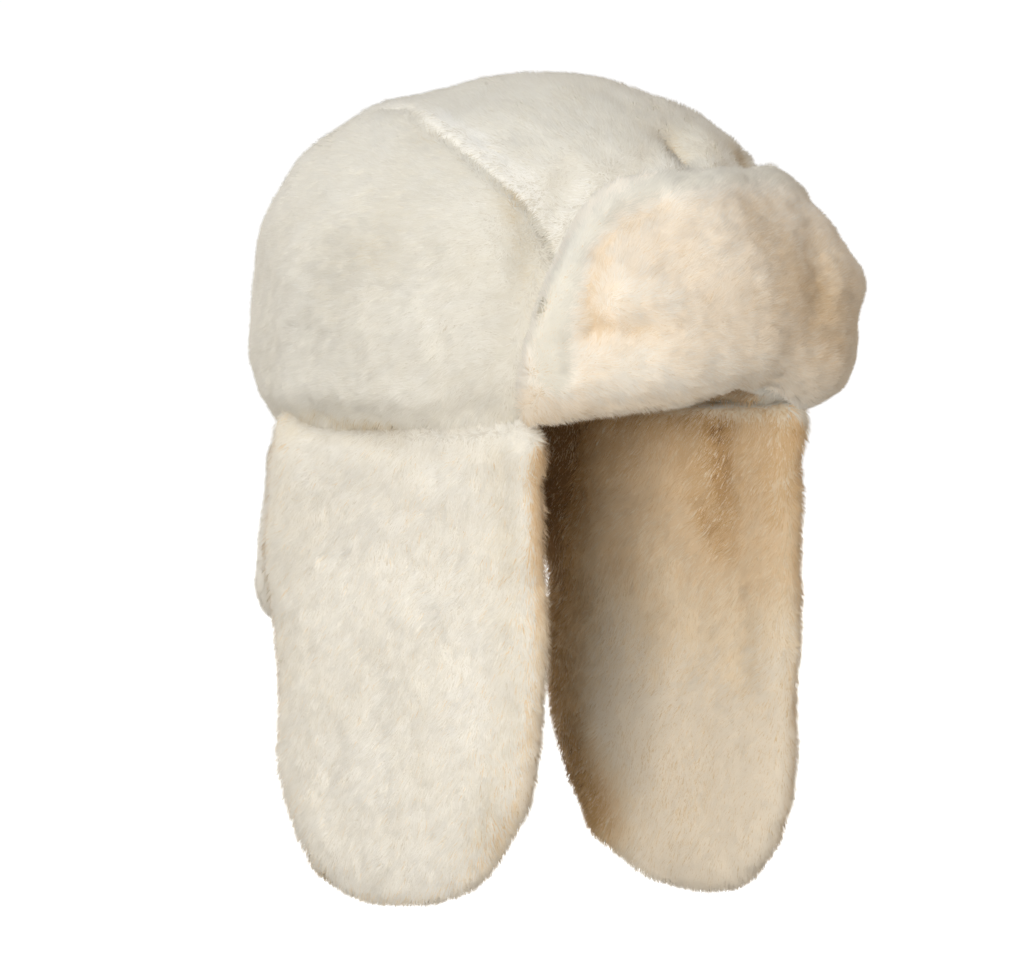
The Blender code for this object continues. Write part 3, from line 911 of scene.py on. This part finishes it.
@dataclass
class BrowFlap:
    """The flap that is turned up against the front of the crown.

    Attributes:
        blades: tufts drawn on it.
        valley_depth: how deep the valley inside its rolled border is, in metres.
        valley_width: how wide the valley is, in metres.
        warm_hem_width: how far up from its lower edge the pile is warmer, as painted shade, in
            metres.
        face_width: how far round the middle of its face the pile is warmer, in metres.
    """

    blades: int = 130_000
    valley_depth: float = 3.2 * MM
    valley_width: float = 10 * MM
    warm_hem_width: float = 24 * MM
    face_width: float = 50 * MM

    def folds(self) -> tuple[Fold, ...]:
        """Gives the rolled border and the valley inside it, the lower edge and the dimple; the
        dents, the lower edge and the middle get warm painted shade, and the border and its swell
        get painted highlight.

        Returns:
            The flap's folds: four on both sides, then those that are on one side only.
        """
        valley = Fold(
            ((-0.048, -0.106, 0.096), (-0.066, -0.099, 0.088), (-0.077, -0.098, 0.076),
             (-0.084, -0.101, 0.058), (-0.086, -0.100, 0.042)),
            self.valley_depth, self.valley_width, 0.20,
        )
        swell = Fold(((-0.073, -0.111, 0.059), (-0.060, -0.120, 0.056)), -3.5 * MM, 15 * MM, -0.18)
        crease = Fold(
            ((-0.083, -0.104, 0.044), (-0.072, -0.114, 0.043), (-0.056, -0.123, 0.046)),
            2 * MM, 6 * MM, 0.18,
        )
        dimple = Fold(((0.034, -0.127, 0.080), (0.020, -0.137, 0.056)), 3.2 * MM, 17 * MM, 0.14)
        face = Fold(
            ((-0.060, -0.118, 0.058), (0.0, -0.135, 0.050), (0.060, -0.118, 0.058)),
            0.0, self.face_width, 0.10,
        )
        border = Fold(
            ((-0.096, -0.088, 0.022), (-0.094, -0.088, 0.050), (-0.083, -0.090, 0.080),
             (-0.064, -0.096, 0.101), (-0.020, -0.110, 0.109), (0.0, -0.112, 0.110)),
            -0.8 * MM, 12 * MM, -0.50,
        )
        hem = Fold(
            ((-0.088, -0.072, 0.006), (-0.070, -0.090, 0.007), (-0.041, -0.113, 0.012),
             (-0.018, -0.119, 0.018), (-0.007, -0.120, 0.018)),
            -3 * MM, 12 * MM, 0.06,
        )
        notch = Fold(((0.008, -0.117, 0.012), (0.026, -0.113, 0.008)), 4.2 * MM, 11 * MM, 0.10)
        warm_hem = Fold(hem.path, 0.0, self.warm_hem_width, 0.20)
        tan = Fold(((-0.004, -0.135, 0.080), (0.022, -0.134, 0.050)), 0.0, 40 * MM, 0.22)
        both = (valley, swell, crease, border)
        return *both, *(fold.mirrored() for fold in both), hem, warm_hem, notch, dimple, face, tan

    def make(self) -> None:
        """Builds and dresses the flap."""
        # The brow's seams are paled with painted highlight.
        PlushPiece(
            "brow_flap", "brow_plush", BROW_WOOL, BROW_PILE, Flow.ACROSS_THE_BROW, self.blades,
            self.folds(), seed=300, inside_shade_reach=-1.0, painted_seam_shade=-0.12,
        ).make()


@dataclass
class EarFlap:
    """One of the two long flaps that hang over the ears.

    Attributes:
        side: the wearer's side that it is on.
        blades: tufts drawn on it.
        valley_depth: how deep the soft valley on its inner face is, in metres.
    """

    side: Side
    blades: int = 133_000
    valley_depth: float = 2.2 * MM

    def folds(self) -> tuple[Fold, ...]:
        """Gives the valley on the inner face, the full edges and the tuck under the crown; most
        folds also paint warm shade into the pile.

        Returns:
            The flap's folds. The two flaps differ in how full their front edge is, where the
            rim's warm painted shade begins and how far the lip at the top is raised.
        """
        right = self.side is Side.RIGHT
        full = 4 * MM if right else 1.5 * MM
        rim_front, raised = (-0.048, 0.0) if right else (-0.074, 3.5 * MM)
        valley = Fold(
            ((0.073, -0.036, -0.010), (0.073, -0.038, -0.058)), self.valley_depth, 15 * MM, 0.30
        )
        lower = Fold(((0.073, -0.046, -0.075), (0.073, -0.048, -0.115)), self.valley_depth, 16 * MM)
        shade = Fold(
            ((0.076, 0.062, -0.010), (0.076, 0.066, -0.110), (0.076, 0.060, -0.150),
             (0.076, 0.040, -0.185)),
            0.0, 30 * MM, 0.70,
        )
        low = Fold(((0.076, 0.062, -0.135), (0.076, 0.042, -0.185)), 0.0, 24 * MM, 0.22)
        warm = Fold(
            ((0.100, -0.064, -0.010), (0.102, -0.069, -0.060), (0.102, -0.069, -0.120),
             (0.098, -0.055, -0.170)),
            0.0, 18 * MM, 0.36,
        )
        foot = Fold(
            ((0.098, 0.034, -0.204), (0.098, 0.005, -0.214), (0.098, -0.030, -0.208)),
            0.0, 9 * MM, 0.24,
        )
        lip = Fold(((0.086, -0.064, -0.004), (0.084, -0.040, -0.004)), -raised, 11 * MM)
        rim = Fold(((0.080, rim_front, -0.007), (0.078, 0.040, -0.005)), 0.0, 10 * MM, 0.15)
        pinch = Fold(((0.073, -0.022, -0.040), (0.073, -0.028, -0.052)), 1.5 * MM, 6 * MM, 0.25)
        front = Fold(((0.090, -0.070, -0.004), (0.090, -0.077, -0.045)), -full, 16 * MM)
        back = Fold(((0.085, 0.062, 0.002), (0.085, 0.066, -0.060)), -6 * MM, 18 * MM)
        heel = Fold(
            ((0.085, 0.066, -0.100), (0.084, 0.058, -0.150), (0.083, 0.040, -0.188)),
            -4 * MM, 16 * MM,
        )
        shoulder = Fold(((0.085, 0.066, -0.002), (0.085, 0.067, -0.018)), -5 * MM, 12 * MM)
        tuck = Fold(
            ((0.097, 0.060, -0.002), (0.102, 0.031, -0.003), (0.1035, -0.010, -0.003)),
            2 * MM, 5 * MM, 0.22,
        )
        dent = Fold(((0.106, -0.030, -0.040), (0.107, -0.018, -0.055)), 2.5 * MM, 22 * MM)
        corner = Fold(((0.088, -0.072, -0.006), (0.088, -0.073, -0.010)), -1.75 * full, 12 * MM)
        return on_side(self.side, (
            valley, lower, shade, low, warm, foot, rim, lip, pinch, front, back, shoulder, heel,
            tuck, dent, corner,
        ))

    def make(self) -> None:
        """Builds and dresses the flap."""
        PlushPiece(
            f"ear_flap_{self.side.name.lower()}", "flap_plush", FLAP_WOOL, FLAP_PILE, Flow.DOWN,
            self.blades, self.folds(), seed=400 + self.side.value, inside_shade_reach=1.1,
            roundness=0.15, splay=0.4, painted_seam_shade=0.0,
        ).make()


@dataclass
class NeckFlap:
    """The short flap over the nape.

    Attributes:
        blades: tufts drawn on it.
    """

    blades: int = 90_000

    def folds(self) -> tuple[Fold, ...]:
        """The full top edge that closes the corners where two crown panels meet the flap."""
        corner = Fold(((-0.037, 0.103, -0.006), (-0.029, 0.106, -0.006)), -2.2 * MM, 9 * MM)
        return corner, corner.mirrored()

    def make(self) -> None:
        """Builds and dresses the flap."""
        PlushPiece(
            "neck_flap", "flap_plush", FLAP_WOOL, FLAP_PILE, Flow.DOWN, self.blades, self.folds(),
            seed=500, inside_shade_reach=0.3, splay=0.3,
        ).make()


def towards(azimuth: float, elevation: float) -> Vector:
    """The direction from the hat to a place at these angles, in degrees."""
    a, e = math.radians(azimuth), math.radians(elevation)
    return Vector((math.sin(a) * math.cos(e), -math.cos(a) * math.cos(e), math.sin(e)))


@dataclass(frozen=True)
class Softbox:
    """A square soft lamp that faces the hat.

    Attributes:
        name: the lamp's name.
        azimuth: where it stands round the hat, in degrees; 0 is in front.
        elevation: how high it stands, in degrees.
        away: how far from the origin it stands, in metres.
        size: how long its sides are, in metres.
        power: its power, in watts.
        colour: the colour of its light.
    """

    name: str
    azimuth: float
    elevation: float
    away: float
    size: float
    power: float
    colour: str

    def make(self) -> None:
        """Hangs the lamp in its place."""
        lamp = bpy.data.lights.new(self.name, "AREA")
        lamp.size = self.size
        lamp.energy = self.power
        lamp.color = linear(self.colour)[:3]
        held = bpy.data.objects.new(self.name, lamp)
        bpy.context.scene.collection.objects.link(held)
        direction = towards(self.azimuth, self.elevation)
        turn = direction.to_track_quat("Z", "Y").to_matrix().to_4x4()
        held.matrix_world = Matrix.Translation(direction * self.away) @ turn


# The key models the hat's forms from the camera's left, and the others keep its shadows soft.
SOFTBOXES = (
    Softbox("key_softbox", -60.0, 5.0, 2.4, 0.6, 33.0, "#FFFDFA"),
    Softbox("overhead_softbox", -90.0, 66.0, 2.4, 1.4, 28.0, "#F2F8FF"),
    Softbox("front_fill", 45.0, 8.0, 2.6, 1.6, 10.0, "#FFDDB2"),
    Softbox("right_fill", 105.0, 12.0, 2.6, 1.6, 28.0, "#FFF8EE"),
    Softbox("back_fill", 175.0, 25.0, 2.6, 1.6, 24.0, "#FFFAF2"),
)


@dataclass
class Studio:
    """The pale floor, the soft light and the camera.

    Attributes:
        floor_height: where the floor lies, in metres; the hat hangs above it.
        floor_radius: how far the floor reaches, in metres.
        floor_corners: how many corners its round edge has.
        azimuth: where the camera stands round the hat, in degrees; 0 is in front.
        elevation: how high the camera stands, in degrees.
        distance: how far the camera stands from its aim, in metres.
        lens: the camera's focal length, in millimetres.
        aim_right: how far to its right of the origin the camera aims, in metres.
        aim_up: how far above the origin it aims, in metres.
    """

    floor_height: float = -0.30
    floor_radius: float = 40.0
    floor_corners: int = 96
    azimuth: float = -48.0
    elevation: float = 5.0
    distance: float = 3.5
    lens: float = 284.5
    aim_right: float = -0.01204
    aim_up: float = -0.03156

    def build_floor(self) -> None:
        """Lays the floor, which the camera sees as evenly white as the room behind it."""
        turns = np.linspace(0, 2 * math.pi, self.floor_corners + 1)[:-1]
        rim = np.stack([np.cos(turns), np.sin(turns), np.zeros(len(turns))], 1) * self.floor_radius
        points = rim + np.array([0, 0, self.floor_height])
        floor = mesh_object("floor", points, np.arange(len(turns))[None, :])
        # Matt white paper: a soft upward light on the hat, and no edge, shine or shadow to see.
        paper = bpy.data.materials.new("matt_white_paper")
        paper.use_nodes = True
        tree = paper.node_tree
        tree.nodes.clear()
        path = add_node(tree, "ShaderNodeLightPath")
        sheet = add_node(
            tree, "ShaderNodeBsdfPrincipled", {},
            {"Base Color": linear("#D8D6D2"), "Roughness": 0.9,
             "Emission Color": linear("#FFFFFF"),
             "Emission Strength": path.outputs["Is Camera Ray"]},
        )
        add_node(tree, "ShaderNodeOutputMaterial", {}, {"Surface": sheet.outputs[0]})
        floor.data.materials.append(paper)

    def build_lights(self) -> None:
        """Fills the room with faint even light and hangs the five lamps."""
        world = bpy.data.worlds.new("even_light")
        world.use_nodes = True
        tree = world.node_tree
        tree.nodes.clear()
        path = add_node(tree, "ShaderNodeLightPath")
        room = add_node(
            tree, "ShaderNodeBackground", {}, {"Color": linear("#FFF4E6"), "Strength": 0.06}
        )
        seen = add_node(
            tree, "ShaderNodeBackground", {}, {"Color": linear("#FFFFFF"), "Strength": 1.0}
        )
        either = add_node(
            tree, "ShaderNodeMixShader", {},
            {0: path.outputs["Is Camera Ray"], 1: room.outputs[0], 2: seen.outputs[0]},
        )
        add_node(tree, "ShaderNodeOutputWorld", {}, {"Surface": either.outputs[0]})
        bpy.context.scene.world = world
        for softbox in SOFTBOXES:
            softbox.make()

    def build_camera(self) -> None:
        """Sets the camera at the photograph's viewing angle."""
        back = towards(self.azimuth, self.elevation)
        turn = back.to_track_quat("Z", "Y").to_matrix()
        aim = turn @ Vector((self.aim_right, self.aim_up, 0))
        lens = bpy.data.cameras.new("camera")
        lens.lens = self.lens
        camera = bpy.data.objects.new("camera", lens)
        bpy.context.scene.collection.objects.link(camera)
        camera.matrix_world = Matrix.Translation(aim + back * self.distance) @ turn.to_4x4()
        lens.clip_end = 100
        bpy.context.scene.camera = camera

    def make(self) -> None:
        """Builds the studio and sets plain colour handling."""
        self.build_floor()
        self.build_lights()
        self.build_camera()
        bpy.context.scene.view_settings.view_transform = "Standard"
        LOG.info("studio: floor, lights and camera")


def main() -> None:
    """Builds the hat's pieces and the studio in order."""
    logging.basicConfig(level=logging.INFO, format="%(name)s %(message)s")
    Crown().make()
    BrowFlap().make()
    for side in Side:
        EarFlap(side).make()
    NeckFlap().make()
    Studio().make()


if __name__ == "__main__":
    main()
